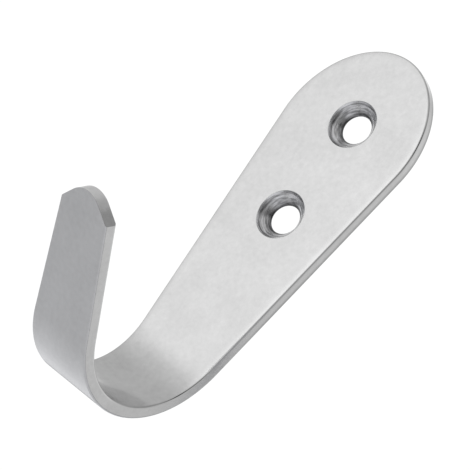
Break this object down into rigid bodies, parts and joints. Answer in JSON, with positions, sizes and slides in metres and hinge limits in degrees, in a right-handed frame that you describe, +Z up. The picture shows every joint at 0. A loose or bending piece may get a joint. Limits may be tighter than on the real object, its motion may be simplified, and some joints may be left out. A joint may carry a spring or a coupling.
{
  "type": "coat hook",
  "caption": "One-piece J-shaped coat hook bent from a tapered stainless strip, with a rounded screw plate, countersunk fixing holes and an upturned arm with a rounded tip.",
  "frame": {"origin": "on the back face, midway between the two screw holes", "axes": "+Z up along the plate, +Y out of the back face into the wall, the arm reaches towards -Y"},
  "size_m": [0.025, 0.0393, 0.0698],
  "materials": {
    "satin_steel": "fine satin stainless steel, tumbled edges"
  },
  "bodies": {
    "root": {"hook_body": "satin_steel"}
  },
  "joints": []
}
